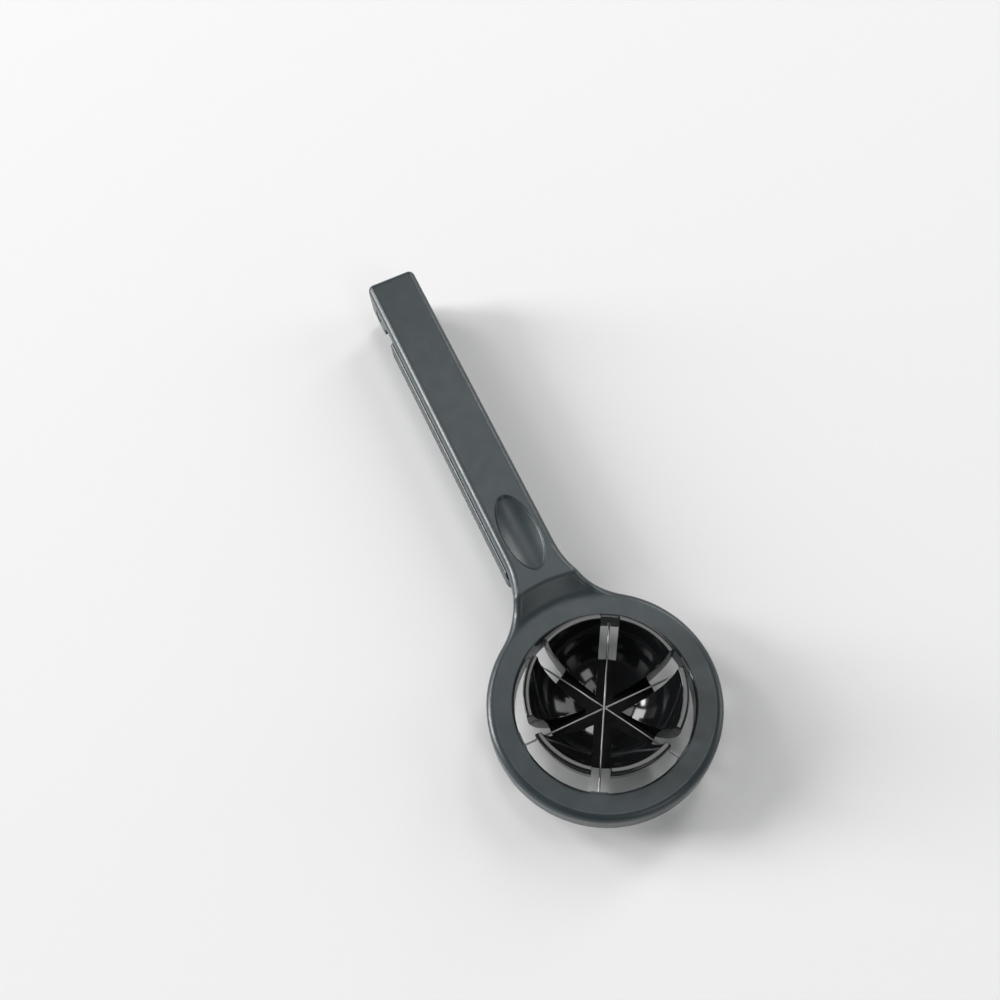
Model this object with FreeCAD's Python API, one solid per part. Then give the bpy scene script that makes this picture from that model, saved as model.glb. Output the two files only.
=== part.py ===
import FreeCAD, Part
import math
import os

# An egg wedger: two cast aluminium levers joined by a pin at their far ends.
# The lower lever carries a moulded cup with six petals, and the upper one ends
# in a ring strung with three steel wires that pass down between the petals.
# Sizes are in millimetres. +Z is up, +Y points from the ring to the hinge, and
# the origin is on the table under the middle of the tool. The tool lies on its
# lower lever, and its upper lever stands a little short of closed.

Vector = FreeCAD.Vector

# Overall layout along the tool
OVERALL_LENGTH = 189.4
RING_OUTER_R = 33.0
END_Y = OVERALL_LENGTH / 2
RING_Y = -END_Y + RING_OUTER_R
PIN_TO_END = 8.0
PIN_Y = END_Y - PIN_TO_END
PIN_Z = 12.0

# Upper lever: ring
RING_HOLE_R = 25.2
RING_BOTTOM = 8.0
RING_TOP = 16.0
RING_WALL = 1.8
RING_PLATE = 2.2
RING_OUTER_ROUND = 1.9
RING_INNER_ROUND = 0.8

# Upper lever: handle, neck and hinge ears
HANDLE_WIDTH = 16.0
HANDLE_TOP = 19.4
GRIP_BOTTOM = 14.4
HANDLE_WALL = 2.2
END_CORNER_R = 2.0
NECK_FILLET_R = 27.5
STEP_FOOT_R = 33.0
STEP_HEAD_R = 38.1
STEP_FOOT_ROUND = 8.0
STEP_HEAD_ROUND = 3.0
CHANNEL_START = 40.0
NECK_UNDER_LOW = 36.0
NECK_UNDER_HIGH = 48.0
EAR_BOTTOM = 8.0
EAR_FRONT_TO_END = 14.0
EAR_BACK_TO_END = 2.3
EAR_CORNER_R = 2.4
END_WALL = 2.0
END_WALL_LIFT = 0.8
RIB_THICKNESS = 1.6
RIB_HEIGHT = 2.6
RIB_PLACES = (72.0, 96.0, 120.0)

# Thumb dimple in the top of the handle, measured from the ring's centre
DIMPLE_CENTRE = 55.5
DIMPLE_HALF_LENGTH = 13.1
DIMPLE_HALF_WIDTH = 5.6
DIMPLE_DEPTH = 1.7
DIMPLE_FOOT_HALF_WIDTH = 5.25
DIMPLE_FOOT_DEPTH = 0.65
DIMPLE_FOOT_ROUND = 0.3
DIMPLE_LIP_ROUND = 0.15
DIMPLE_WALL = 1.7

# Cutting wires and the ferrules crimped on their ends
WIRE_R = 0.3
WIRE_ANGLES = (90.0, 150.0, 30.0)
WIRE_LEVELS = (9.35, 10.0, 10.65)
WIRE_END_R = 30.1
FERRULE_R = 1.0
FERRULE_INNER_END = 27.05
FERRULE_OUTER_END = 29.85
FERRULE_CHAMFER = 0.25
WIRE_SLOT_WIDTH = 0.8
PAD_WIDTH = 4.8
PAD_REACH = 0.15
PAD_TOP = 15.85

# Egg cup
RIM_TOP = 26.0
RIM_R = 22.5
RIM_OUTER_ROUND = 0.35
RIM_INNER_ROUND = 0.25
CUP_WALL_TURN = 24.0
FLOOR_R = 16.0
FLOOR_TOP = 4.8
CUP_UNDERSIDE = 3.7
CUP_BASE = 2.6
SPIGOT_R = 12.5
BOWL_R = 20.8
BOWL_CENTRE_Z = 27.3
SLOT_WIDTH = 5.1

# Lower lever
LOWER_GRIP_TOP = 8.4
LOWER_FLOOR = 2.2
LOWER_EDGE_ROUND = 1.6
LOWER_TOP_ROUND = 0.8
LOWER_GRIP_START = 48.0
LOWER_GRIP_TAPER = 2.5
LOWER_GRIP_CORNER_R = 2.0
LOWER_NECK_HALF_WIDTH = 5.5
LOWER_SLOPE_HEAD = 50.0
LOWER_SLOPE_FOOT = 40.0
LOWER_NECK_TOP = 4.2
SHOULDER = 139.3
LOWER_CHANNEL_START = 58.0
LOWER_CHANNEL_END = 134.0
CARRIER_R = 14.0
CARRIER_RIM_TOP = 3.6
CARRIER_FILLET_R = 6.0
SPIGOT_GAP = 0.1
CUP_GAP_R = 16.6
REST_PAD_TOP = 4.9
REST_PAD_HALF_WIDTH = 4.0
REST_PAD_SPAN = (26.0, 33.0)
TONGUE_WIDTH = 11.2
TONGUE_R = 4.2
TONGUE_HEEL_R = 6.0
TONGUE_SLOPE_FOOT = 134.0
OPEN_ANGLE = 36.0
OPEN_STOP_REACH = 7.4
OPEN_STOP_GAP = 0.25

# Hinge pin and cup screws
PIN_R = 2.0
PIN_LENGTH = 15.6
PIN_RUNNING_GAP = 0.06
PIN_CHAMFER = 0.4
SCREW_OFFSET = 10.5
SCREW_SHANK_R = 1.25
SCREW_HOLE_R = 1.45
SCREW_HEAD_R = 2.5
SCREW_HEAD_HEIGHT = 1.4
SCREW_INSET = 0.2
SCREW_TIP = 7.8
SCREW_POINT = 0.9
SCREW_DRIVE_R = 1.0
SCREW_DRIVE_DEPTH = 0.8

PIN_FROM_RING = PIN_Y - RING_Y
END_FROM_RING = END_Y - RING_Y
UP = Vector(0, 0, 1)
CLEAR = 5.0


def at(x, along, z):
    """A point given from the ring's centre line, with along counted towards the hinge."""
    return Vector(x, RING_Y + along, z)


def box(half_width, start, end, low, high):
    """A block centred across the tool, from start to end along it."""
    return Part.makeBox(2 * half_width, end - start, high - low, at(-half_width, start, low))


def cylinder(radius, low, high, along=0.0):
    return Part.makeCylinder(radius, high - low, at(0, along, low), UP)


def closed_face(edges):
    return Part.Face(Part.Wire(Part.__sortEdges__([e.toShape() for e in edges])))


def polygon(points):
    return Part.Face(Part.makePolygon(list(points) + [points[0]]))


def line(start, end):
    return Part.LineSegment(start, end)


def arc(start, middle, end):
    return Part.Arc(start, middle, end)


def arc_about(centre, radius, start_angle, end_angle, axis_u, axis_v):
    """An arc about centre in the plane of two unit vectors, with angles in degrees."""
    def point(angle):
        turn = math.radians(angle)
        return centre + axis_u * (radius * math.cos(turn)) + axis_v * (radius * math.sin(turn))
    return arc(point(start_angle), point((start_angle + end_angle) / 2), point(end_angle))


def spun(face):
    """Revolves a face, drawn in the XZ plane beside the ring's axis, into a full turn."""
    return face.revolve(at(0, 0, 0), UP, 360)


def side_cut(face, half_width):
    """Extrudes a face, drawn at x = -half_width, across the tool."""
    return face.extrude(Vector(2 * half_width, 0, 0))


def turned(shape, angle):
    """A copy of shape turned about the ring's axis, clockwise from the handle seen from above."""
    copy = shape.copy()
    copy.rotate(at(0, 0, 0), UP, -angle)
    return copy


def rounded_edges(solid, radius, wanted):
    """Fillets the edges that wanted picks."""
    return solid.makeFillet(radius, [e for e in solid.Edges if wanted(e)])


def upper_outline(z):
    """The upper lever seen from above: square-ended handle, concave neck, round ring."""
    half = HANDLE_WIDTH / 2
    fillet_x = half + NECK_FILLET_R
    fillet_y = math.sqrt((RING_OUTER_R + NECK_FILLET_R) ** 2 - fillet_x ** 2)
    share = RING_OUTER_R / (RING_OUTER_R + NECK_FILLET_R)
    ring_x, ring_y = fillet_x * share, fillet_y * share
    turn = math.atan2(fillet_y, fillet_x)
    middle_turn = math.pi + turn / 2
    bend_x = fillet_x + NECK_FILLET_R * math.cos(middle_turn)
    bend_y = fillet_y + NECK_FILLET_R * math.sin(middle_turn)
    corner = END_CORNER_R * (1 - math.sqrt(0.5))
    end = END_FROM_RING
    edges = [
        line(at(-half + END_CORNER_R, end, z), at(half - END_CORNER_R, end, z)),
        arc(at(-ring_x, ring_y, z), at(0, -RING_OUTER_R, z), at(ring_x, ring_y, z)),
    ]
    for side in (-1, 1):
        edges += [
            arc(at(side * (half - END_CORNER_R), end, z), at(side * (half - corner), end - corner, z),
                at(side * half, end - END_CORNER_R, z)),
            line(at(side * half, end - END_CORNER_R, z), at(side * half, fillet_y, z)),
            arc(at(side * half, fillet_y, z), at(side * bend_x, bend_y, z), at(side * ring_x, ring_y, z)),
        ]
    return closed_face(edges)


def rounded_corner(before, corner, after, radius):
    """The arc that rounds a corner of a polyline, as (start, middle, end)."""
    to_before = (before - corner).normalize()
    to_after = (after - corner).normalize()
    half_angle = to_before.getAngle(to_after) / 2
    reach = radius / math.tan(half_angle)
    bisector = (to_before + to_after).normalize()
    centre = corner + bisector * (radius / math.sin(half_angle))
    return corner + to_before * reach, centre - bisector * radius, corner + to_after * reach


def dimple(wall):
    """The hollow of the dimple, or, with a wall's thickness, the bulge that it makes below the top.

    A steep rim round a shallow bowl is spun into a dish, which is then drawn out along the handle into an
    oval.
    """
    top = HANDLE_TOP + CLEAR
    spread = CLEAR * (DIMPLE_HALF_WIDTH - DIMPLE_FOOT_HALF_WIDTH) / DIMPLE_FOOT_DEPTH
    rim_above = Vector(DIMPLE_HALF_WIDTH + wall + spread, 0, top)
    foot = Vector(DIMPLE_FOOT_HALF_WIDTH + wall, 0, HANDLE_TOP - DIMPLE_FOOT_DEPTH - wall)
    bottom = Vector(0, 0, HANDLE_TOP - DIMPLE_DEPTH - wall)
    rise = foot.z - bottom.z
    bowl_r = (foot.x ** 2 + rise ** 2) / (2 * rise)
    halfway = Vector(foot.x / 2, 0, bottom.z + bowl_r - math.sqrt(bowl_r ** 2 - foot.x ** 2 / 4))
    dish = closed_face([
        line(Vector(0, 0, top), rim_above),
        line(rim_above, foot),
        arc(foot, halfway, bottom),
        line(bottom, Vector(0, 0, top)),
    ]).revolve(Vector(0, 0, 0), UP, 360)
    dish = rounded_edges(dish, DIMPLE_FOOT_ROUND, lambda e: (
        abs(e.BoundBox.ZMin - foot.z) < 0.01 and e.BoundBox.ZLength < 0.01))
    drawn_out = FreeCAD.Matrix()
    drawn_out.scale(1, (DIMPLE_HALF_LENGTH + wall) / (DIMPLE_HALF_WIDTH + wall), 1)
    oval = dish.transformGeometry(drawn_out)
    oval.translate(at(0, DIMPLE_CENTRE, 0))
    return oval


def step_cutter():
    """What is taken off above the ring, up a smooth conical step to the handle's top."""
    high = HANDLE_TOP + CLEAR
    inner = at(0, 0, RING_TOP)
    foot = at(STEP_FOOT_R, 0, RING_TOP)
    head = at(STEP_HEAD_R, 0, HANDLE_TOP)
    outer = at(STEP_HEAD_R + CLEAR, 0, HANDLE_TOP)
    foot_arc = rounded_corner(inner, foot, head, STEP_FOOT_ROUND)
    head_arc = rounded_corner(foot, head, outer, STEP_HEAD_ROUND)
    return spun(closed_face([
        line(inner, foot_arc[0]),
        arc(*foot_arc),
        line(foot_arc[2], head_arc[0]),
        arc(*head_arc),
        line(head_arc[2], at(head_arc[2].x, 0, high)),
        line(at(head_arc[2].x, 0, high), at(0, 0, high)),
        line(at(0, 0, high), inner),
    ]))


def under_cutter():
    """What is taken off below the handle: the finger gap, and the outline of the ears."""
    x = -HANDLE_WIDTH
    low = RING_BOTTOM - 2 * CLEAR
    front = END_FROM_RING - EAR_FRONT_TO_END
    back = END_FROM_RING - EAR_BACK_TO_END
    wall_low = PIN_Z + END_WALL_LIFT
    beyond = END_FROM_RING + CLEAR
    ear_top, ear_foot = at(x, front, GRIP_BOTTOM), at(x, front, EAR_BOTTOM)
    ear_heel, wall_foot = at(x, back, EAR_BOTTOM), at(x, back, wall_low)
    grip_start = at(x, NECK_UNDER_HIGH, GRIP_BOTTOM)
    inner = rounded_corner(grip_start, ear_top, ear_foot, EAR_CORNER_R)
    foot = rounded_corner(ear_top, ear_foot, ear_heel, EAR_CORNER_R)
    heel = rounded_corner(ear_foot, ear_heel, wall_foot, EAR_CORNER_R)
    return side_cut(closed_face([
        line(at(x, NECK_UNDER_LOW, low), at(x, NECK_UNDER_LOW, RING_BOTTOM)),
        line(at(x, NECK_UNDER_LOW, RING_BOTTOM), grip_start),
        line(grip_start, inner[0]),
        arc(*inner),
        line(inner[2], foot[0]),
        arc(*foot),
        line(foot[2], heel[0]),
        arc(*heel),
        line(heel[2], wall_foot),
        line(wall_foot, at(x, beyond, wall_low)),
        line(at(x, beyond, wall_low), at(x, beyond, low)),
        line(at(x, beyond, low), at(x, NECK_UNDER_LOW, low)),
    ]), 2 * HANDLE_WIDTH)


def ring_channel():
    """The groove under the ring, which hides the ferrules."""
    inner = RING_HOLE_R + RING_WALL
    outer = RING_OUTER_R - RING_WALL
    return cylinder(outer, RING_BOTTOM - CLEAR, RING_TOP - RING_PLATE).cut(
        cylinder(inner, RING_BOTTOM - CLEAR, RING_TOP))


def is_top_edge(edge):
    """True for an edge of the upper lever's outline that lies along its top."""
    centre = edge.CenterOfMass
    low = edge.BoundBox.ZMin
    on_step_side = edge.BoundBox.ZLength > 0.01 and edge.BoundBox.XLength < 2 * RING_OUTER_R
    flat = edge.BoundBox.ZLength < 0.01
    across_step = abs(centre.x) < 1.0 and abs(centre.y - at(0, STEP_FOOT_R, 0).y) < 8.0
    return low > RING_TOP - 0.01 and (flat or on_step_side) and not across_step


def upper_lever():
    body = upper_outline(RING_BOTTOM - CLEAR).extrude(Vector(0, 0, HANDLE_TOP - RING_BOTTOM + CLEAR))
    body = body.cut(step_cutter())
    body = rounded_edges(body, RING_OUTER_ROUND, is_top_edge)
    body = body.cut(box(2 * RING_OUTER_R, -2 * RING_OUTER_R, NECK_UNDER_LOW, -CLEAR, RING_BOTTOM))
    body = body.cut(under_cutter())
    body = body.cut(cylinder(RING_HOLE_R, 0, HANDLE_TOP))
    body = rounded_edges(body, RING_INNER_ROUND, lambda e: (
        abs(e.BoundBox.ZMin - RING_TOP) < 0.01 and abs(e.BoundBox.XLength - 2 * RING_HOLE_R) < 0.01))
    body = body.cut(ring_channel())

    inside = HANDLE_WIDTH / 2 - HANDLE_WALL
    ceiling = HANDLE_TOP - HANDLE_WALL
    channel_end = END_FROM_RING - END_WALL
    body = body.cut(box(inside, CHANNEL_START, channel_end, 0, ceiling))
    for place in RIB_PLACES:
        body = body.fuse(box(inside, place, place + RIB_THICKNESS, ceiling - RIB_HEIGHT, ceiling))

    bulge = dimple(DIMPLE_WALL).common(box(inside, CHANNEL_START, channel_end, GRIP_BOTTOM, ceiling))
    body = body.fuse(bulge).cut(dimple(0)).removeSplitter()
    body = rounded_edges(body, DIMPLE_LIP_ROUND, lambda e: (
        e.BoundBox.ZMin > HANDLE_TOP - 0.01 and abs(e.CenterOfMass.x) < 1
        and abs(e.CenterOfMass.y - at(0, DIMPLE_CENTRE, 0).y) < 1 and e.BoundBox.XLength > DIMPLE_HALF_WIDTH))

    wall_ring = cylinder(RING_HOLE_R + RING_WALL / 2, RING_BOTTOM, RING_TOP).cut(
        cylinder(RING_HOLE_R - PAD_REACH, 0, RING_TOP))
    for angle, level in zip(WIRE_ANGLES, WIRE_LEVELS):
        for side in (0, 180):
            pad = wall_ring.common(box(PAD_WIDTH / 2, 0, RING_OUTER_R, 0, PAD_TOP))
            slot = box(WIRE_SLOT_WIDTH / 2, RING_HOLE_R - CLEAR / 2, RING_HOLE_R + RING_WALL + 0.5,
                       RING_BOTTOM - CLEAR, level + WIRE_R)
            body = body.fuse(turned(pad, angle + side)).cut(turned(slot, angle + side))

    pin_hole = Part.makeCylinder(PIN_R, 2 * HANDLE_WIDTH,
                                 Vector(-HANDLE_WIDTH, PIN_Y, PIN_Z), Vector(1, 0, 0))
    return body.cut(pin_hole).removeSplitter()


def cutting_wire(angle, level):
    wire = Part.makeCylinder(WIRE_R, 2 * WIRE_END_R, at(0, -WIRE_END_R, level), Vector(0, 1, 0))
    return turned(wire, angle)


def ferrule(angle, level):
    """A crimped steel sleeve on a wire's end, seated behind the ring's inner wall."""
    length = FERRULE_OUTER_END - FERRULE_INNER_END
    start = at(0, FERRULE_INNER_END, level)
    sleeve = Part.makeCylinder(FERRULE_R, length, start, Vector(0, 1, 0))
    sleeve = sleeve.makeChamfer(FERRULE_CHAMFER, [
        e for e in sleeve.Edges if e.BoundBox.YLength < 0.01 and e.BoundBox.XLength > FERRULE_R])
    bore = Part.makeCylinder(WIRE_R, length + 2, start - Vector(0, 1, 0), Vector(0, 1, 0))
    return turned(sleeve.cut(bore), angle)


def cup_profile():
    """Half the cup's section before its slots: base, outer wall, rim and bowl."""
    wall_r = ((FLOOR_R - RIM_R) ** 2 + (CUP_WALL_TURN - FLOOR_TOP) ** 2) / (2 * (RIM_R - FLOOR_R))
    wall_centre = RIM_R - wall_r

    def wall(z):
        return at(wall_centre + math.sqrt(wall_r ** 2 - (CUP_WALL_TURN - z) ** 2), 0, z)

    def bowl(z):
        return at(math.sqrt(BOWL_R ** 2 - (BOWL_CENTRE_Z - z) ** 2), 0, z)

    rim_out = at(RIM_R, 0, RIM_TOP - RIM_OUTER_ROUND)
    rim_in = bowl(RIM_TOP - RIM_INNER_ROUND)
    rim_in_top = at(rim_in.x + RIM_INNER_ROUND, 0, RIM_TOP)
    rim_out_top = at(RIM_R - RIM_OUTER_ROUND, 0, RIM_TOP)
    lift = 1 - math.sqrt(0.5)
    middle_z = (RIM_TOP + BOWL_CENTRE_Z - BOWL_R) / 2
    bottom = at(0, 0, BOWL_CENTRE_Z - BOWL_R)
    return closed_face([
        line(at(0, 0, CUP_BASE), at(SPIGOT_R, 0, CUP_BASE)),
        line(at(SPIGOT_R, 0, CUP_BASE), at(SPIGOT_R, 0, CUP_UNDERSIDE)),
        line(at(SPIGOT_R, 0, CUP_UNDERSIDE), wall(CUP_UNDERSIDE)),
        arc(wall(CUP_UNDERSIDE), wall(middle_z), at(RIM_R, 0, CUP_WALL_TURN)),
        line(at(RIM_R, 0, CUP_WALL_TURN), rim_out),
        arc(rim_out, at(RIM_R - RIM_OUTER_ROUND * lift, 0, RIM_TOP - RIM_OUTER_ROUND * lift), rim_out_top),
        line(rim_out_top, rim_in_top),
        arc(rim_in_top, at(rim_in.x + RIM_INNER_ROUND * lift, 0, RIM_TOP - RIM_INNER_ROUND * lift), rim_in),
        arc(rim_in, bowl(middle_z), bottom),
        line(bottom, at(0, 0, CUP_BASE)),
    ])


def egg_cup():
    """A bowl cut by three slots into six petals on one base."""
    cup = spun(cup_profile())
    for angle in WIRE_ANGLES:
        slot = box(SLOT_WIDTH / 2, -2 * RIM_R, 2 * RIM_R, FLOOR_TOP, RIM_TOP + CLEAR)
        cup = cup.cut(turned(slot, angle))
    for side in (-1, 1):
        cup = cup.cut(cylinder(SCREW_SHANK_R, CUP_BASE, SCREW_TIP, side * SCREW_OFFSET))
    return cup.removeSplitter()


def carrier_outline(z):
    """The lower lever seen from above: full-width grip, narrower neck and the round carrier."""
    half = HANDLE_WIDTH / 2
    neck = LOWER_NECK_HALF_WIDTH
    start = LOWER_GRIP_START
    fillet_x = neck + CARRIER_FILLET_R
    fillet_y = math.sqrt((CARRIER_R + CARRIER_FILLET_R) ** 2 - fillet_x ** 2)
    share = CARRIER_R / (CARRIER_R + CARRIER_FILLET_R)
    disc_x, disc_y = fillet_x * share, fillet_y * share
    middle_turn = math.pi + math.atan2(fillet_y, fillet_x) / 2
    bend_x = fillet_x + CARRIER_FILLET_R * math.cos(middle_turn)
    bend_y = fillet_y + CARRIER_FILLET_R * math.sin(middle_turn)
    edges = [
        arc(at(-disc_x, disc_y, z), at(0, -CARRIER_R, z), at(disc_x, disc_y, z)),
        line(at(-half, SHOULDER, z), at(half, SHOULDER, z)),
    ]
    for side in (-1, 1):
        edges += [
            arc(at(side * disc_x, disc_y, z), at(side * bend_x, bend_y, z), at(side * neck, fillet_y, z)),
        ]
        before, inner = at(side * neck, fillet_y, z), at(side * neck, start - LOWER_GRIP_TAPER, z)
        outer, after = at(side * half, start, z), at(side * half, SHOULDER, z)
        notch = rounded_corner(before, inner, outer, LOWER_GRIP_CORNER_R)
        corner = rounded_corner(inner, outer, after, LOWER_GRIP_CORNER_R)
        edges += [line(before, notch[0]), arc(*notch), line(notch[2], corner[0]), arc(*corner),
                  line(corner[2], after)]
    return closed_face(edges)


def tongue():
    """The narrow end of the lower lever, between the ears, with the step that stops the opening.

    The step lies along the underside of the upper lever's end wall in its fully open place.
    """
    x = -TONGUE_WIDTH / 2
    back = PIN_FROM_RING + TONGUE_R
    crown = PIN_FROM_RING - TONGUE_R
    top = PIN_Z + TONGUE_R
    opening = math.radians(OPEN_ANGLE)
    stop_offset = (END_WALL_LIFT - OPEN_STOP_GAP) / math.cos(opening)

    def stop_face(reach):
        return at(x, PIN_FROM_RING + reach, PIN_Z + stop_offset - reach * math.tan(opening))

    tail = PIN_FROM_RING + OPEN_STOP_REACH
    heel = at(x, tail - TONGUE_HEEL_R, TONGUE_HEEL_R)
    along = Vector(0, 1, 0)
    foot = TONGUE_SLOPE_FOOT
    return closed_face([
        line(at(x, foot, 0), at(x, tail - TONGUE_HEEL_R, 0)),
        arc_about(heel, TONGUE_HEEL_R, -90, 0, along, UP),
        line(at(x, tail, TONGUE_HEEL_R), stop_face(OPEN_STOP_REACH)),
        line(stop_face(OPEN_STOP_REACH), stop_face(TONGUE_R)),
        line(stop_face(TONGUE_R), at(x, back, PIN_Z)),
        arc_about(at(x, PIN_FROM_RING, PIN_Z), TONGUE_R, 0, 90, along, UP),
        line(at(x, PIN_FROM_RING, top), at(x, crown, top)),
        line(at(x, crown, top), at(x, foot, LOWER_GRIP_TOP)),
        line(at(x, foot, LOWER_GRIP_TOP), at(x, foot, 0)),
    ]).extrude(Vector(TONGUE_WIDTH, 0, 0))


def lower_lever():
    body = carrier_outline(0).extrude(Vector(0, 0, LOWER_GRIP_TOP))
    body = rounded_edges(body, LOWER_EDGE_ROUND, lambda e: (
        e.BoundBox.ZMax < 0.01 and e.CenterOfMass.y < at(0, SHOULDER, 0).y - 1))
    body = rounded_edges(body, LOWER_TOP_ROUND, lambda e: (
        e.BoundBox.ZMin > LOWER_GRIP_TOP - 0.01 and e.BoundBox.XLength < 0.01))
    x = -HANDLE_WIDTH
    over_neck = polygon([
        at(x, -2 * RING_OUTER_R, LOWER_NECK_TOP), at(x, LOWER_SLOPE_FOOT, LOWER_NECK_TOP),
        at(x, LOWER_SLOPE_HEAD, LOWER_GRIP_TOP), at(x, LOWER_SLOPE_HEAD, LOWER_GRIP_TOP + CLEAR),
        at(x, -2 * RING_OUTER_R, LOWER_GRIP_TOP + CLEAR)])
    body = body.cut(side_cut(over_neck, HANDLE_WIDTH))
    body = body.cut(cylinder(CUP_GAP_R, CARRIER_RIM_TOP, LOWER_GRIP_TOP))
    body = body.cut(cylinder(SPIGOT_R + SPIGOT_GAP, CUP_BASE, LOWER_GRIP_TOP))
    body = body.fuse(box(REST_PAD_HALF_WIDTH, REST_PAD_SPAN[0], REST_PAD_SPAN[1], LOWER_FLOOR, REST_PAD_TOP))
    inside = HANDLE_WIDTH / 2 - HANDLE_WALL
    body = body.cut(box(inside, LOWER_CHANNEL_START, LOWER_CHANNEL_END, LOWER_FLOOR, LOWER_GRIP_TOP + CLEAR))
    for place in RIB_PLACES:
        body = body.fuse(box(inside, place, place + RIB_THICKNESS, 0.5, LOWER_FLOOR + RIB_HEIGHT))
    body = body.fuse(tongue())
    running_bore = Part.makeCylinder(PIN_R + PIN_RUNNING_GAP, 2 * HANDLE_WIDTH,
                                     Vector(-HANDLE_WIDTH, PIN_Y, PIN_Z), Vector(1, 0, 0))
    body = body.cut(running_bore)
    for side in (-1, 1):
        along = side * SCREW_OFFSET
        seat_r = SCREW_HEAD_R + SCREW_INSET
        body = body.cut(cylinder(SCREW_HOLE_R, -1, CUP_BASE + 1, along))
        seat_depth = SCREW_INSET + SCREW_HEAD_HEIGHT
        body = body.cut(Part.makeCone(seat_r, SCREW_HOLE_R, seat_depth, at(0, along, 0), UP))
    return body.removeSplitter()


def hinge_pin():
    pin = Part.makeCylinder(PIN_R, PIN_LENGTH, Vector(-PIN_LENGTH / 2, PIN_Y, PIN_Z), Vector(1, 0, 0))
    return pin.makeChamfer(PIN_CHAMFER, [e for e in pin.Edges if e.BoundBox.XLength < 0.01])


def cup_screw(side):
    """A countersunk screw that enters from under the carrier."""
    along = side * SCREW_OFFSET
    low = SCREW_INSET
    head = Part.makeCone(SCREW_HEAD_R, SCREW_SHANK_R, SCREW_HEAD_HEIGHT, at(0, along, low), UP)
    shank = cylinder(SCREW_SHANK_R, low, SCREW_TIP - SCREW_POINT, along)
    tip = Part.makeCone(SCREW_SHANK_R, 0.2, SCREW_POINT, at(0, along, SCREW_TIP - SCREW_POINT), UP)
    socket = Part.makeCone(SCREW_DRIVE_R, 0.2, SCREW_DRIVE_DEPTH, at(0, along, low), UP)
    return head.fuse(shank).fuse(tip).cut(socket).removeSplitter()


def all_nodes():
    nodes = {
        "upper_lever": upper_lever(),
        "lower_lever": lower_lever(),
        "egg_cup": egg_cup(),
        "hinge_pin": hinge_pin(),
        "cup_screw_front": cup_screw(-1),
        "cup_screw_rear": cup_screw(1),
    }
    for number, (angle, level) in enumerate(zip(WIRE_ANGLES, WIRE_LEVELS), start=1):
        nodes[f"cutting_wire_{number}"] = cutting_wire(angle, level)
        nodes[f"wire_ferrule_{number}a"] = ferrule(angle, level)
        nodes[f"wire_ferrule_{number}b"] = ferrule(angle + 180, level)
    return nodes


def main():
    os.makedirs("parts", exist_ok=True)
    for name, shape in all_nodes().items():
        solids = shape.Solids
        assert len(solids) == 1 and solids[0].isValid(), f"{name} is not one valid solid"
        solids[0].exportStep(f"parts/{name}.step")
        size = solids[0].BoundBox
        print(f"{name}: {size.XLength:.2f} x {size.YLength:.2f} x {size.ZLength:.2f} mm, "
              f"{solids[0].Volume / 1000:.2f} cm3")


main()
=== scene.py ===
import math

import bmesh
import bpy
from mathutils import Matrix, Vector


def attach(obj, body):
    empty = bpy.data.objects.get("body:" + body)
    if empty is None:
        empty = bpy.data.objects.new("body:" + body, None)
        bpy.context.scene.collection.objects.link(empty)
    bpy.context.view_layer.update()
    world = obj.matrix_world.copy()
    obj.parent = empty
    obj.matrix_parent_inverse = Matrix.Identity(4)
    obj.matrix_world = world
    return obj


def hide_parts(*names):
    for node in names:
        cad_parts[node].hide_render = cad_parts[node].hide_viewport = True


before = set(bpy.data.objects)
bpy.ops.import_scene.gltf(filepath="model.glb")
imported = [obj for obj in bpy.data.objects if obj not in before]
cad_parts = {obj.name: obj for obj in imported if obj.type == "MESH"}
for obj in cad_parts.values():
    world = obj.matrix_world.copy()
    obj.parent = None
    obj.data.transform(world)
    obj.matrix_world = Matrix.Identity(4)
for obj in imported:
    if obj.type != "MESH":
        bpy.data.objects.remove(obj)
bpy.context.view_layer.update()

# An egg wedger: two cast levers, hinged at their far ends. The lower one carries a moulded cup with six
# petals, and the upper one ends in a ring strung with three steel wires, which run between the petals.
# Most pieces keep the mesh of their CAD node and get their finish here. The cup and its two screws are
# modelled again: the cup's edges are rounded, and each screw has a cross recess.
# +Z points up, and +Y from the ring to the hinge.

# One millimetre in metres, Blender's unit
MM = 0.001

# The camera: its place, and the directions of its picture's right and top
CAMERA_PLACE = Vector((-54.03, -145.01, 355.27)) * MM
CAMERA_RIGHT = Vector((0.9084, -0.4159, -0.0431))
CAMERA_UP = Vector((0.3931, 0.8141, 0.4275))
CAMERA_LENS = 45.126
CAMERA_SENSOR = 36.0
CAMERA_CLIP_START = 0.01

# The tabletop, in metres. It lies a hair below the tool, so that their faces don't coincide
FLOOR_SIZE = 3.6
FLOOR_TOP = -0.1 * MM

# Where the studio's pale walls begin to darken and where they are darkest, each as the sine of its angle
# above the floor
WALL_TOP = 0.05
CEILING = 0.45

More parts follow.
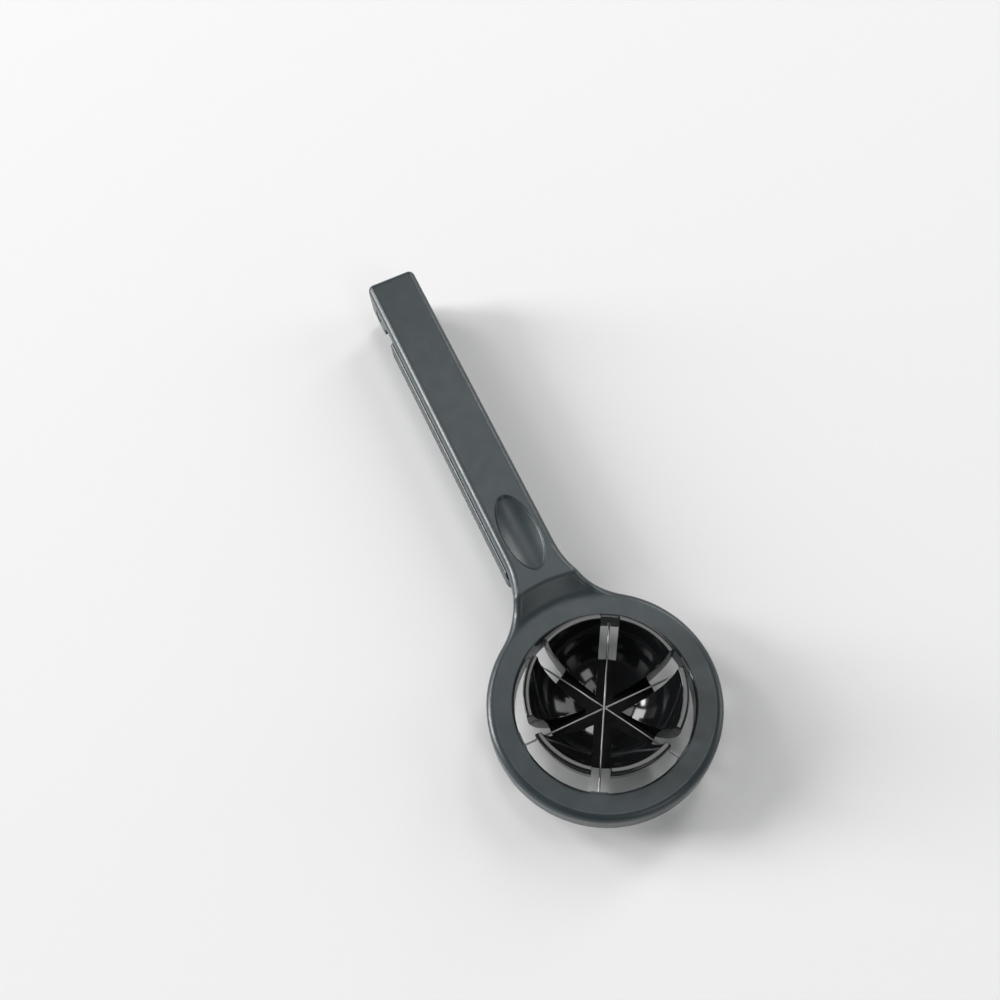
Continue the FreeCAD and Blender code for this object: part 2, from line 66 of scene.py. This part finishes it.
# The studio's lamps: the direction of each from the tool, its distance, width and height in metres, and
# its power in watts
SOFT_BOXES = {
    "overhead_soft_box": ((0.18, 0.2, 0.965), 2.5, 0.54, 0.54, 3.6),
    "high_back_soft_box": ((0.14, 0.48, 0.87), 2.5, 0.8, 0.8, 4.6),
    "high_front_soft_box": ((0.17, -0.5, 0.85), 2.5, 0.6, 0.6, 2.8),
    "low_front_soft_box": ((0.15, -0.74, 0.66), 2.5, 0.6, 0.6, 4.0),
    "tall_left_window": ((-0.82, 0.47, 0.33), 4.0, 1.12, 2.08, 162.0),
    "left_back_soft_box": ((-0.5, 0.67, 0.54), 4.0, 1.04, 1.2, 45.0),
    "high_left_soft_box": ((-0.38, 0.48, 0.79), 2.5, 0.6, 0.6, 3.2),
    "high_right_soft_box": ((0.58, 0.48, 0.66), 2.5, 0.6, 0.7, 10.0),
    "mid_right_soft_box": ((0.8, 0.45, 0.42), 2.5, 0.6, 0.7, 5.5),
    "tall_right_soft_box": ((0.9, -0.19, 0.42), 2.5, 0.95, 1.5, 11.5),
}

# The ring's axis and the hinge pin's, in millimetres. The ring's is the cup's too
RING_Y = -61.7
PIN_Y = 86.7
PIN_Z = 12.0

# The egg cup, in millimetres and degrees
CUP_FLOOR_R = 16.0
CUP_FLOOR_TOP = 4.8
CUP_UNDERSIDE = 3.7
CUP_BASE = 2.6
CUP_SPIGOT_R = 12.5
CUP_RIM_R = 22.5
CUP_RIM_TOP = 26.0
CUP_WALL_TURN = 24.0
RIM_OUTER_ROUND = 0.35
RIM_INNER_ROUND = 0.25
BOWL_R = 20.8
BOWL_CENTRE_Z = 27.3
BOWL_LOW_R = 4.0
SLOT_WIDTH = 5.1
PETALS = 6
PETAL_ANGLE = 360 / PETALS
PETAL_EDGE_ROUND = 0.4
JUST_ABOVE_FLOOR = CUP_FLOOR_TOP + 0.01

# The cup's screws, in millimetres: countersunk heads, driven from under the lower lever. The recess starts
# a little below the head's face, so that it opens that face
SCREW_OFFSET = 10.5
SCREW_SHANK_R = 1.25
SCREW_HEAD_R = 2.5
SCREW_HEAD_LOW = 0.2
SCREW_HEAD_RIM = 0.15
SCREW_HEAD_TOP = 1.6
SCREW_TIP_START = 6.9
SCREW_TIP = 7.8
SCREW_TIP_R = 0.2
RECESS_SPAN = 2.4
RECESS_DEPTH = 1.0
RECESS_TAPER = 0.45
RECESS_START = SCREW_HEAD_LOW - 0.01

# How finely curves are drawn: steps along a section, and steps of a turn about an axis
BOWL_STEPS = 30
WALL_STEPS = 20
BASE_WALL_STEPS = 4
ROUND_STEPS = 6
PETAL_STEPS = 30
SCREW_STEPS = 48
EDGE_SEGMENTS = 4

# An edge of a petal is rounded where its faces turn by more than the first angle, and shading creases
# where they turn by more than the second, in degrees
ROUNDED_ANGLE = 35.0
CREASE_ANGLE = 30.0

# How close, in metres, corners are merged, and how close to a cut a corner counts as on it
MERGE_DISTANCE = 1e-6
CUT_DISTANCE = 1e-7

# The range that a noise texture's values mostly keep to
NOISE_LOW = 0.3
NOISE_HIGH = 0.7

# Dust in the lacquer, grooves along the drawn wire and rings on the turned pin, in millimetres
DUST_SPACING = 5.0
DUST_RADIUS = 0.14
GROOVE_WIDTH = 0.04
TURNED_RING_WIDTH = 0.12

# The wire's grooves are this many times as long as they are wide
GROOVE_STRETCH = 50

# A wave texture turns through this many radians in one unit of its scaled place
WAVE_RATE = 20


def linear(hex_colour):
    """An sRGB hex colour as the linear RGBA that a shader socket takes."""
    channels = [int(hex_colour[i:i + 2], 16) / 255 for i in (1, 3, 5)]
    return [c / 12.92 if c <= 0.04045 else ((c + 0.055) / 1.055) ** 2.4 for c in channels] + [1.0]


def scale_for(feature_mm):
    """The scale at which a texture's features are about so many millimetres wide."""
    return 1 / (feature_mm * MM)


def add_node(tree, kind, links=None, **settings):
    """Adds a node with its settings and links.

    A setting is a property, or an input's value under the input's name. A link names an input, and gives
    the output that feeds it, or a node whose first output in use does.
    """
    node = tree.nodes.new(kind)
    for name, value in settings.items():
        if hasattr(node, name):
            setattr(node, name, value)
        else:
            node.inputs[name.replace("_", " ")].default_value = value
    for name, source in (links or {}).items():
        if isinstance(source, bpy.types.Node):
            source = next(output for output in source.outputs if output.enabled)
        tree.links.new(source, node.inputs[name])
    return node


def new_material(name):
    """An empty node material, and its node tree."""
    material = bpy.data.materials.new(name)
    material.use_nodes = True
    material.node_tree.nodes.clear()
    return material, material.node_tree


def uneven(tree, place, feature_mm, low, high, detail=2.0):
    """A value that wanders between low and high, in patches of about feature_mm."""
    patches = add_node(tree, "ShaderNodeTexNoise", {"Vector": place}, Scale=scale_for(feature_mm),
                       Detail=detail)
    return add_node(tree, "ShaderNodeMapRange", {"Value": patches}, From_Min=NOISE_LOW, From_Max=NOISE_HIGH,
                    To_Min=low, To_Max=high)


def satin_lacquered_casting():
    """Die-cast aluminium under a dark grey satin lacquer.

    The lacquer has an orange peel about 1.3 mm across, lies a little thicker in some places than in
    others, and holds a few specks of dust.
    """
    material, tree = new_material("satin_lacquered_casting")
    place = add_node(tree, "ShaderNodeTexCoord").outputs["Object"]
    dust = add_node(tree, "ShaderNodeTexVoronoi", {"Vector": place}, Scale=scale_for(DUST_SPACING))
    specks = add_node(tree, "ShaderNodeMapRange", {"Value": dust}, From_Min=0.0,
                      From_Max=DUST_RADIUS / DUST_SPACING, To_Min=1.0, To_Max=0.0)
    peel = add_node(tree, "ShaderNodeTexNoise", {"Vector": place}, Scale=scale_for(1.3))
    grain = add_node(tree, "ShaderNodeTexNoise", {"Vector": place}, Scale=scale_for(0.25))
    relief = add_node(tree, "ShaderNodeBump", {"Height": specks}, Distance=0.015 * MM)
    relief = add_node(tree, "ShaderNodeBump", {"Height": peel, "Normal": relief}, Distance=0.006 * MM)
    relief = add_node(tree, "ShaderNodeBump", {"Height": grain, "Normal": relief}, Distance=0.0008 * MM)
    thickness = uneven(tree, place, feature_mm=9.0, low=0.0, high=1.0)
    surface = add_node(tree, "ShaderNodeBsdfPrincipled", {
        "Normal": relief,
        "Base Color": add_node(tree, "ShaderNodeMix", {"Factor": thickness}, data_type="RGBA",
                               A=linear("#2c3538"), B=linear("#30393c")),
        "Roughness": uneven(tree, place, feature_mm=4.0, low=0.29, high=0.35),
    }, IOR=1.5)
    add_node(tree, "ShaderNodeOutputMaterial", {"Surface": surface})
    return material


def glossy_black_moulding():
    """Injection-moulded black plastic from a polished mould.

    Deep black with clear reflections, slightly uneven where the plastic shrank as it cooled, and with the
    fine dull haze that wiping leaves.
    """
    material, tree = new_material("glossy_black_moulding")
    place = add_node(tree, "ShaderNodeTexCoord").outputs["Object"]
    shrinkage = add_node(tree, "ShaderNodeTexNoise", {"Vector": place}, Scale=scale_for(12.0), Detail=0.0)
    ripple = add_node(tree, "ShaderNodeTexNoise", {"Vector": place}, Scale=scale_for(2.5), Detail=1.0)
    relief = add_node(tree, "ShaderNodeBump", {"Height": shrinkage}, Distance=0.02 * MM)
    relief = add_node(tree, "ShaderNodeBump", {"Height": ripple, "Normal": relief}, Distance=0.0012 * MM)
    shade = uneven(tree, place, feature_mm=1.5, low=0.0, high=1.0)
    surface = add_node(tree, "ShaderNodeBsdfPrincipled", {
        "Normal": relief,
        "Base Color": add_node(tree, "ShaderNodeMix", {"Factor": shade}, data_type="RGBA",
                               A=linear("#0f1011"), B=linear("#131415")),
        "Roughness": uneven(tree, place, feature_mm=3.0, low=0.07, high=0.12, detail=6.0),
    }, IOR=1.5)
    add_node(tree, "ShaderNodeOutputMaterial", {"Surface": surface})
    return material


def spark_eroded_moulding_with_painted_shade():
    """The same black plastic where the mould was left as spark erosion made it, used on the slots' floors.

    Its base colour is darker than the polished plastic's and its reflection is cut to a quarter: painted
    shade for the deep slots. Its matt pits are drawn 0.15 mm wide, coarser than real ones, so that they show.
    """
    material, tree = new_material("spark_eroded_moulding_with_painted_shade")
    place = add_node(tree, "ShaderNodeTexCoord").outputs["Object"]
    pits = add_node(tree, "ShaderNodeTexVoronoi", {"Vector": place}, Scale=scale_for(0.15))
    # A darker base colour and a reflection cut to a quarter: painted shade on the slots' floors
    surface = add_node(tree, "ShaderNodeBsdfPrincipled", {
        "Normal": add_node(tree, "ShaderNodeBump", {"Height": pits}, Distance=0.012 * MM),
        "Roughness": uneven(tree, place, feature_mm=2.0, low=0.55, high=0.68),
    }, Base_Color=linear("#0c0c0d"), IOR=1.5, Specular_IOR_Level=0.25)
    add_node(tree, "ShaderNodeOutputMaterial", {"Surface": surface})
    return material


def drawn_stainless_wire():
    """Stainless steel drawn through a die: fine grooves run along each wire, so its shine is drawn out.

    All wires are level and cross on the ring's axis, so a pattern that changes fast with height and slowly
    with the distance from that axis runs along every one of them. Its grooves are drawn coarser than real
    ones, so that they show.
    """
    material, tree = new_material("drawn_stainless_wire")
    place = add_node(tree, "ShaderNodeTexCoord").outputs["Object"]
    stretch = 1 / GROOVE_STRETCH
    from_axis = add_node(tree, "ShaderNodeMapping", {"Vector": place}, Scale=(stretch, stretch, 0.0),
                         Location=Vector((0, -RING_Y, 0)) * MM * stretch)
    along = add_node(tree, "ShaderNodeVectorMath", {0: from_axis}, operation="LENGTH").outputs["Value"]
    height = add_node(tree, "ShaderNodeSeparateXYZ", {"Vector": place}).outputs["Z"]
    groove_place = add_node(tree, "ShaderNodeCombineXYZ", {"X": along, "Z": height})
    grooves = add_node(tree, "ShaderNodeTexNoise", {"Vector": groove_place}, Scale=scale_for(GROOVE_WIDTH))
    shade = uneven(tree, groove_place, feature_mm=GROOVE_WIDTH, low=0.0, high=1.0)
    surface = add_node(tree, "ShaderNodeBsdfPrincipled", {
        "Normal": add_node(tree, "ShaderNodeBump", {"Height": grooves}, Distance=0.002 * MM),
        "Base Color": add_node(tree, "ShaderNodeMix", {"Factor": shade}, data_type="RGBA",
                               A=linear("#9a9b9c"), B=linear("#b2b3b4")),
        "Roughness": uneven(tree, place, feature_mm=1.5, low=0.28, high=0.36),
    }, Metallic=1.0)
    add_node(tree, "ShaderNodeOutputMaterial", {"Surface": surface})
    return material


def turned_steel_pin():
    """Bright stainless rod, faced on a lathe, which leaves fine rings about the hinge's axis."""
    material, tree = new_material("turned_steel_pin")
    place = add_node(tree, "ShaderNodeTexCoord").outputs["Object"]
    from_axis = add_node(tree, "ShaderNodeMapping", {"Vector": place},
                         Location=Vector((0, -PIN_Y, -PIN_Z)) * MM)
    rings = add_node(tree, "ShaderNodeTexWave", {"Vector": from_axis}, wave_type="RINGS",
                     rings_direction="X", Scale=math.tau / (WAVE_RATE * TURNED_RING_WIDTH * MM),
                     Distortion=0.4)
    surface = add_node(tree, "ShaderNodeBsdfPrincipled", {
        "Normal": add_node(tree, "ShaderNodeBump", {"Height": rings.outputs["Fac"]}, Distance=0.004 * MM),
        "Roughness": uneven(tree, from_axis, feature_mm=0.8, low=0.2, high=0.3),
    }, Base_Color=linear("#c2c3c4"), Metallic=1.0)
    add_node(tree, "ShaderNodeOutputMaterial", {"Surface": surface})
    return material


def zinc_plated_steel():
    """Cold-formed steel with a thin bright zinc coat: cool grey, with a faint cloudy bloom."""
    material, tree = new_material("zinc_plated_steel")
    place = add_node(tree, "ShaderNodeTexCoord").outputs["Object"]
    crystals = add_node(tree, "ShaderNodeTexNoise", {"Vector": place}, Scale=scale_for(0.12))
    bloom = uneven(tree, place, feature_mm=0.7, low=0.0, high=1.0)
    surface = add_node(tree, "ShaderNodeBsdfPrincipled", {
        "Normal": add_node(tree, "ShaderNodeBump", {"Height": crystals}, Distance=0.002 * MM),
        "Base Color": add_node(tree, "ShaderNodeMix", {"Factor": bloom}, data_type="RGBA",
                               A=linear("#a9adb2"), B=linear("#c0c3c6")),
        "Roughness": uneven(tree, place, feature_mm=0.7, low=0.26, high=0.4),
    }, Metallic=1.0)
    add_node(tree, "ShaderNodeOutputMaterial", {"Surface": surface})
    return material


def pale_tabletop():
    """Matt white paint on a smooth board: it takes soft shadows and mirrors next to nothing."""
    material, tree = new_material("pale_tabletop")
    surface = add_node(tree, "ShaderNodeBsdfPrincipled", Base_Color=linear("#eeeeed"), Roughness=0.9,
                       Specular_IOR_Level=0.2)
    add_node(tree, "ShaderNodeOutputMaterial", {"Surface": surface})
    return material


def paint(node_name, material):
    """Gives a CAD node's own mesh its finish."""
    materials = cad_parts[node_name].data.materials
    materials.clear()
    materials.append(material)


def add_piece(name, mesh, material):
    """Turns a bmesh into a smooth-shaded object at the origin, with creases where its faces meet sharply."""
    data = bpy.data.meshes.new(name)
    mesh.to_mesh(data)
    mesh.free()
    data.shade_smooth()
    data.set_sharp_from_angle(angle=math.radians(CREASE_ANGLE))
    data.materials.append(material)
    piece = bpy.data.objects.new(name, data)
    bpy.context.scene.collection.objects.link(piece)
    return piece


def drawn_line(mesh, points, closed=False, axis_y=RING_Y):
    """Adds a chain of edges through (radius, height) points in millimetres, beside an upright axis."""
    corners = [mesh.verts.new(Vector((radius, axis_y, height)) * MM) for radius, height in points]
    pairs = list(zip(corners, corners[1:])) + ([(corners[-1], corners[0])] if closed else [])
    return [mesh.edges.new(pair) for pair in pairs]


def spin(mesh, geometry, degrees, steps, axis_y=RING_Y, **settings):
    """Spins geometry about an upright axis, which is the ring's unless another is given."""
    bmesh.ops.spin(mesh, geom=geometry, cent=Vector((0, axis_y, 0)) * MM, axis=(0, 0, 1),
                   angle=math.radians(degrees), steps=steps, **settings)


def everything(mesh):
    """All that a bmesh holds, as its operators take it."""
    return mesh.verts[:] + mesh.edges[:] + mesh.faces[:]


def steps_between(start, end, count):
    """Values that go from start to end in even steps."""
    return [start + (end - start) * i / count for i in range(count + 1)]


def quarter_round(radius, height, size, start_degrees):
    """Points on a quarter circle about (radius, height), from an angle on by 90 degrees."""
    turns = [math.radians(turn) for turn in steps_between(start_degrees, start_degrees + 90, ROUND_STEPS)]
    return [(radius + size * math.cos(turn), height + size * math.sin(turn)) for turn in turns]


def cup_wall_points(low, high, count):
    """The cup's outer wall, an arc that widens from the floor and turns upright under the rim."""
    rise = CUP_WALL_TURN - CUP_FLOOR_TOP
    reach = CUP_RIM_R - CUP_FLOOR_R
    wall_r = (reach ** 2 + rise ** 2) / (2 * reach)
    return [(CUP_RIM_R - wall_r + math.sqrt(wall_r ** 2 - (CUP_WALL_TURN - z) ** 2), z)
            for z in steps_between(low, high, count)]


def petal_section():
    """Half of the cup's section: up the bowl, over the rounded rim and down the outer wall."""
    rim_z = CUP_RIM_TOP - RIM_INNER_ROUND
    rim_r = math.sqrt(BOWL_R ** 2 - (BOWL_CENTRE_Z - rim_z) ** 2)
    low_turn = math.asin(BOWL_LOW_R / BOWL_R)
    high_turn = math.asin(rim_r / BOWL_R)
    bowl = [(BOWL_R * math.sin(turn), BOWL_CENTRE_Z - BOWL_R * math.cos(turn))
            for turn in steps_between(low_turn, high_turn, BOWL_STEPS)]
    inner_round = quarter_round(rim_r + RIM_INNER_ROUND, rim_z, RIM_INNER_ROUND, 90)[::-1]
    outer_round = quarter_round(CUP_RIM_R - RIM_OUTER_ROUND, CUP_RIM_TOP - RIM_OUTER_ROUND,
                                RIM_OUTER_ROUND, 0)[::-1]
    wall = cup_wall_points(CUP_WALL_TURN, CUP_FLOOR_TOP, WALL_STEPS)
    return [(BOWL_LOW_R, CUP_FLOOR_TOP)] + bowl[:-1] + inner_round + outer_round + wall


def cut_to_slot(mesh, degrees, side):
    """Cuts a petal back to one side of the slot at an angle, and closes the cut."""
    turn = math.radians(degrees)
    across = Vector((-math.sin(turn), math.cos(turn), 0)) * side
    slot_side = Vector((0, RING_Y, 0)) * MM + across * (SLOT_WIDTH / 2 * MM)
    cut = bmesh.ops.bisect_plane(mesh, geom=everything(mesh), dist=CUT_DISTANCE, plane_co=slot_side,
                                 plane_no=across, clear_inner=True)
    outline = [edge for edge in cut["geom_cut"] if isinstance(edge, bmesh.types.BMEdge)]
    bmesh.ops.contextual_create(mesh, geom=outline)


def add_petals(mesh):
    """One petal, cut from a sixth of the turned cup, rounded along its edges and copied round the axis."""
    section = drawn_line(mesh, petal_section(), closed=True)
    spin(mesh, mesh.verts[:] + section, PETAL_ANGLE, PETAL_STEPS)
    bmesh.ops.recalc_face_normals(mesh, faces=mesh.faces)
    cut_to_slot(mesh, 0, 1)
    cut_to_slot(mesh, PETAL_ANGLE, -1)
    bmesh.ops.recalc_face_normals(mesh, faces=mesh.faces)
    sharp = [edge for edge in mesh.edges
             if edge.calc_face_angle(0) > math.radians(ROUNDED_ANGLE)
             and max(corner.co.z for corner in edge.verts) > JUST_ABOVE_FLOOR * MM]
    bmesh.ops.bevel(mesh, geom=sharp, offset=PETAL_EDGE_ROUND * MM, segments=EDGE_SEGMENTS, profile=0.5,
                    affect="EDGES", material=-1, clamp_overlap=True)
    spin(mesh, everything(mesh), 360 - PETAL_ANGLE, PETALS - 1, use_duplicate=True)


def add_cup_base(mesh):
    """The round base under the petals, with the spigot that sits in the lower lever."""
    outline = [(0, CUP_BASE), (CUP_SPIGOT_R, CUP_BASE), (CUP_SPIGOT_R, CUP_UNDERSIDE)]
    outline += cup_wall_points(CUP_UNDERSIDE, CUP_FLOOR_TOP, BASE_WALL_STEPS) + [(0, CUP_FLOOR_TOP)]
    petals = set(mesh.verts)
    section = drawn_line(mesh, outline)
    corners = [corner for corner in mesh.verts if corner not in petals]
    spin(mesh, corners + section, 360, PETALS * PETAL_STEPS, use_merge=True)
    corners = [corner for corner in mesh.verts if corner not in petals]
    bmesh.ops.remove_doubles(mesh, verts=corners, dist=MERGE_DISTANCE)


def add_egg_cup(polished, matt):
    """Six petals, parted by the slots for the wires, on one round base whose floor in the slots is matt and
    darkened with painted shade.
    """
    mesh = bmesh.new()
    add_petals(mesh)
    add_cup_base(mesh)
    bmesh.ops.recalc_face_normals(mesh, faces=mesh.faces)
    # The level faces low in the slots take the matt material, whose darker colour and weak reflection are
    # painted shade
    for face in mesh.faces:
        is_level = face.normal.z > 0.99
        is_low = face.calc_center_median().z < JUST_ABOVE_FLOOR * MM
        face.material_index = 1 if is_level and is_low else 0
    cup = add_piece("egg_cup_moulding", mesh, polished)
    cup.data.materials.append(matt)
    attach(cup, "lower")
    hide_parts("egg_cup")


def cross_recess(axis_y):
    """A tapered cross, to be taken out of a screw's head: a square of nine cells less its corners, raised."""
    mesh = bmesh.new()
    bmesh.ops.create_grid(mesh, x_segments=3, y_segments=3, size=RECESS_SPAN / 2 * MM)
    half_cell = RECESS_SPAN / 6 * MM
    corner_cells = [face for face in mesh.faces
                    if min(abs(face.calc_center_median().x), abs(face.calc_center_median().y)) > half_cell]
    bmesh.ops.delete(mesh, geom=corner_cells, context="FACES")
    raised = bmesh.ops.extrude_face_region(mesh, geom=mesh.faces[:], use_keep_orig=True)
    tips = [corner for corner in raised["geom"] if isinstance(corner, bmesh.types.BMVert)]
    bmesh.ops.scale(mesh, vec=(RECESS_TAPER, RECESS_TAPER, 1), verts=tips)
    bmesh.ops.translate(mesh, vec=(0, 0, RECESS_DEPTH * MM), verts=tips)
    bmesh.ops.translate(mesh, vec=Vector((0, axis_y, RECESS_START)) * MM, verts=mesh.verts)
    bmesh.ops.recalc_face_normals(mesh, faces=mesh.faces)
    return mesh


def add_cup_screw(node_name, axis_y, material):
    """A countersunk screw with a cross recess."""
    outline = [
        (0, SCREW_HEAD_LOW),
        (SCREW_HEAD_R - SCREW_HEAD_RIM, SCREW_HEAD_LOW),
        (SCREW_HEAD_R, SCREW_HEAD_LOW + SCREW_HEAD_RIM),
        (SCREW_SHANK_R, SCREW_HEAD_TOP),
        (SCREW_SHANK_R, SCREW_TIP_START),
        (SCREW_TIP_R, SCREW_TIP),
        (0, SCREW_TIP),
    ]
    mesh = bmesh.new()
    section = drawn_line(mesh, outline, axis_y=axis_y)
    spin(mesh, mesh.verts[:] + section, 360, SCREW_STEPS, axis_y=axis_y, use_merge=True)
    bmesh.ops.remove_doubles(mesh, verts=mesh.verts, dist=MERGE_DISTANCE)
    bmesh.ops.recalc_face_normals(mesh, faces=mesh.faces)
    screw = add_piece(node_name + "_machined", mesh, material)
    cutter = add_piece("recess_cutter", cross_recess(axis_y), material)
    screw.modifiers.new("recess", "BOOLEAN").object = cutter
    finished = screw.evaluated_get(bpy.context.evaluated_depsgraph_get())
    screw.data = bpy.data.meshes.new_from_object(finished)
    screw.modifiers.clear()
    screw.data.set_sharp_from_angle(angle=math.radians(CREASE_ANGLE))
    bpy.data.objects.remove(cutter)
    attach(screw, "lower")
    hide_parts(node_name)


def add_floor():
    """The tabletop under the tool."""
    mesh = bmesh.new()
    bmesh.ops.create_grid(mesh, x_segments=1, y_segments=1, size=FLOOR_SIZE / 2)
    bmesh.ops.translate(mesh, vec=(0, 0, FLOOR_TOP), verts=mesh.verts)
    add_piece("floor", mesh, pale_tabletop())


def add_lamp(name, direction, distance, width, height, power):
    """An upright rectangular soft box that faces the tool from a direction."""
    data = bpy.data.lights.new(name, "AREA")
    data.shape = "RECTANGLE"
    data.size = width
    data.size_y = height
    data.energy = power
    lamp = bpy.data.objects.new(name, data)
    place = Vector(direction).normalized() * distance
    lamp.location = place
    lamp.rotation_euler = (-place).to_track_quat("-Z", "Y").to_euler()
    bpy.context.scene.collection.objects.link(lamp)


def add_camera():
    """The camera, which looks down on the tool from in front of its ring, a little to the left."""
    data = bpy.data.cameras.new("camera")
    data.sensor_width = CAMERA_SENSOR
    data.lens = CAMERA_LENS
    data.clip_start = CAMERA_CLIP_START
    camera = bpy.data.objects.new("camera", data)
    back = CAMERA_RIGHT.cross(CAMERA_UP).normalized()
    up = back.cross(CAMERA_RIGHT).normalized()
    turn = Matrix((CAMERA_RIGHT.normalized(), up, back)).transposed()
    camera.matrix_world = Matrix.Translation(CAMERA_PLACE) @ turn.to_4x4()
    bpy.context.scene.collection.objects.link(camera)
    bpy.context.scene.camera = camera


def studio_room():
    """Pale walls round the table, which darken towards the ceiling."""
    world = bpy.data.worlds.new("studio_room")
    world.use_nodes = True
    tree = world.node_tree
    tree.nodes.clear()
    towards = add_node(tree, "ShaderNodeTexCoord").outputs["Generated"]
    height = add_node(tree, "ShaderNodeSeparateXYZ", {"Vector": towards}).outputs["Z"]
    climb = add_node(tree, "ShaderNodeMapRange", {"Value": height}, From_Min=WALL_TOP, From_Max=CEILING)
    walls = add_node(tree, "ShaderNodeMix", {"Factor": climb}, data_type="RGBA", A=linear("#dfe1e2"),
                     B=linear("#46484a"))
    background = add_node(tree, "ShaderNodeBackground", {"Color": walls})
    add_node(tree, "ShaderNodeOutputWorld", {"Surface": background})
    return world


def light_the_scene():
    """Soft, even studio light at a plain level."""
    scene = bpy.context.scene
    scene.view_settings.view_transform = "Standard"
    scene.world = studio_room()
    for name, soft_box in SOFT_BOXES.items():
        add_lamp(name, *soft_box)


casting = satin_lacquered_casting()
polished_plastic = glossy_black_moulding()
matt_plastic_with_painted_shade = spark_eroded_moulding_with_painted_shade()
wire_steel = drawn_stainless_wire()
pin_steel = turned_steel_pin()
plated_steel = zinc_plated_steel()

for node_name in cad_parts:
    if node_name.endswith("_lever"):
        paint(node_name, casting)
    elif node_name == "egg_cup":
        add_egg_cup(polished_plastic, matt_plastic_with_painted_shade)
    elif node_name.startswith("cutting_wire"):
        paint(node_name, wire_steel)
    elif node_name == "hinge_pin":
        paint(node_name, pin_steel)
    elif node_name.startswith("cup_screw"):
        side = -1 if node_name.endswith("front") else 1
        add_cup_screw(node_name, RING_Y + side * SCREW_OFFSET, plated_steel)
    else:
        paint(node_name, plated_steel)

add_floor()
light_the_scene()
add_camera()
